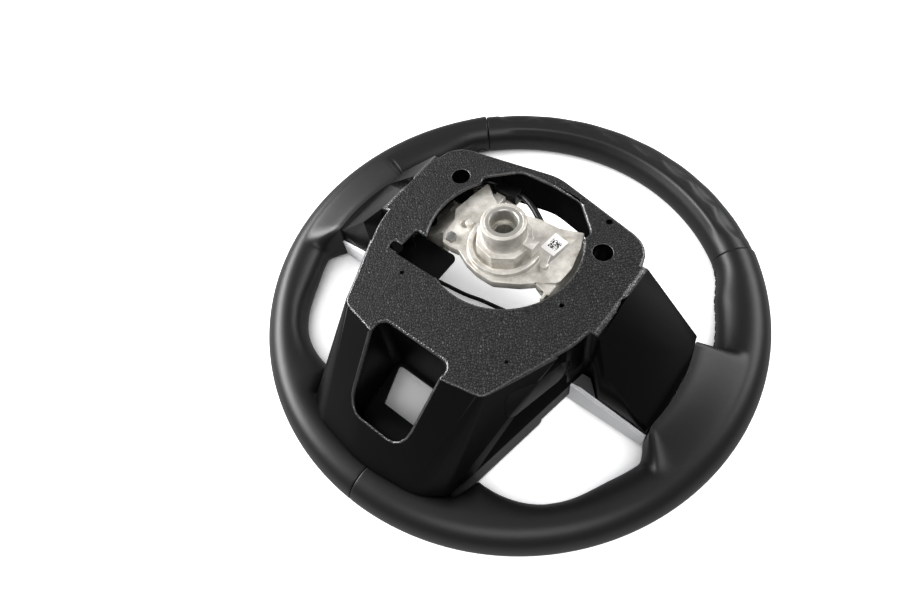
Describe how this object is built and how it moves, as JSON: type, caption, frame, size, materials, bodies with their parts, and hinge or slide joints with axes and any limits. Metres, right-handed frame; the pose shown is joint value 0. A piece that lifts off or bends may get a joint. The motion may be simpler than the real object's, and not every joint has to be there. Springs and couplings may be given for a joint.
{
  "type": "car steering wheel",
  "caption": "Leather-covered car steering wheel seen from the column side: round rim, side spokes, lower spoke with a hole, moulded back cover, cast armature and splined hub.",
  "frame": {"origin": "on the steering axis, in the plane that the front of the rim rests on", "axes": "+Z along the steering axis to the column, +Y to the top of the wheel, +X to the driver's left"},
  "size_m": [0.375, 0.375, 0.1106],
  "materials": {
    "cast_alloy": "die-cast, matt, slightly rough",
    "hub_steel": "turned steel with a bright chamfer",
    "bar_steel": "drawn bar, bare",
    "foam": "moulded foam skin",
    "leather": "smooth black leather, satin",
    "cover_plastic": "grained black moulding",
    "plug_plastic": "black moulding",
    "front_plastic": "black moulding, satin",
    "silver_trim": "silver plated plastic, bright",
    "key_plastic": "dark grey moulding",
    "spring_steel": "drawn wire",
    "screw_steel": "zinc plated",
    "wire_sheath": "black sheath",
    "connector_plastic": "black moulding",
    "sticker_film": "white film"
  },
  "bodies": {
    "wheel": {"armature": "cast_alloy", "rim_insert": "bar_steel", "hub_insert": "hub_steel", "rim_foam": "foam", "leather_top": "leather", "leather_left": "leather", "leather_right": "leather", "back_cover": "cover_plastic", "side_plug_left": "plug_plastic", "side_plug_right": "plug_plastic", "lead_bracket": "plug_plastic", "spoke_bezel_left": "plug_plastic", "spoke_bezel_right": "plug_plastic", "spoke_trim_left": "silver_trim", "spoke_trim_right": "silver_trim", "lower_spoke_bezel": "front_plastic", "switch_housing_left": "plug_plastic", "switch_housing_right": "plug_plastic", "clip_spring_left": "spring_steel", "clip_spring_right": "spring_steel", "cover_screws": "screw_steel", "earth_screw": "screw_steel", "harness_lower": "wire_sheath", "harness_upper": "wire_sheath", "harness_right": "wire_sheath", "harness_plug": "connector_plastic", "part_sticker": "sticker_film"},
    "upper_button_left": {"upper_button_left": "key_plastic"},
    "lower_button_left": {"lower_button_left": "key_plastic"},
    "rocker_left": {"rocker_left": "key_plastic"},
    "upper_button_right": {"upper_button_right": "key_plastic"},
    "lower_button_right": {"lower_button_right": "key_plastic"},
    "rocker_right": {"rocker_right": "key_plastic"}
  },
  "joints": [
    {"name": "upper_button_left_press", "type": "slide", "parent": "wheel", "child": "upper_button_left", "axis": [0, 0, 1], "range_m": [0, 0.0008], "stiffness_N_per_m": 600, "springref_m": -0.0015},
    {"name": "lower_button_left_press", "type": "slide", "parent": "wheel", "child": "lower_button_left", "axis": [0, 0, 1], "range_m": [0, 0.0008], "stiffness_N_per_m": 600, "springref_m": -0.0015},
    {"name": "rocker_left_tilt", "type": "hinge", "parent": "wheel", "child": "rocker_left", "pos_m": [0.093, -0.002, 0.007], "axis": [1, 0, 0], "range_deg": [-4, 4], "stiffness_Nm_per_rad": 0.3},
    {"name": "upper_button_right_press", "type": "slide", "parent": "wheel", "child": "upper_button_right", "axis": [0, 0, 1], "range_m": [0, 0.0008], "stiffness_N_per_m": 600, "springref_m": -0.0015},
    {"name": "lower_button_right_press", "type": "slide", "parent": "wheel", "child": "lower_button_right", "axis": [0, 0, 1], "range_m": [0, 0.0008], "stiffness_N_per_m": 600, "springref_m": -0.0015},
    {"name": "rocker_right_tilt", "type": "hinge", "parent": "wheel", "child": "rocker_right", "pos_m": [-0.093, -0.002, 0.007], "axis": [1, 0, 0], "range_deg": [-4, 4], "stiffness_Nm_per_rad": 0.3}
  ]
}
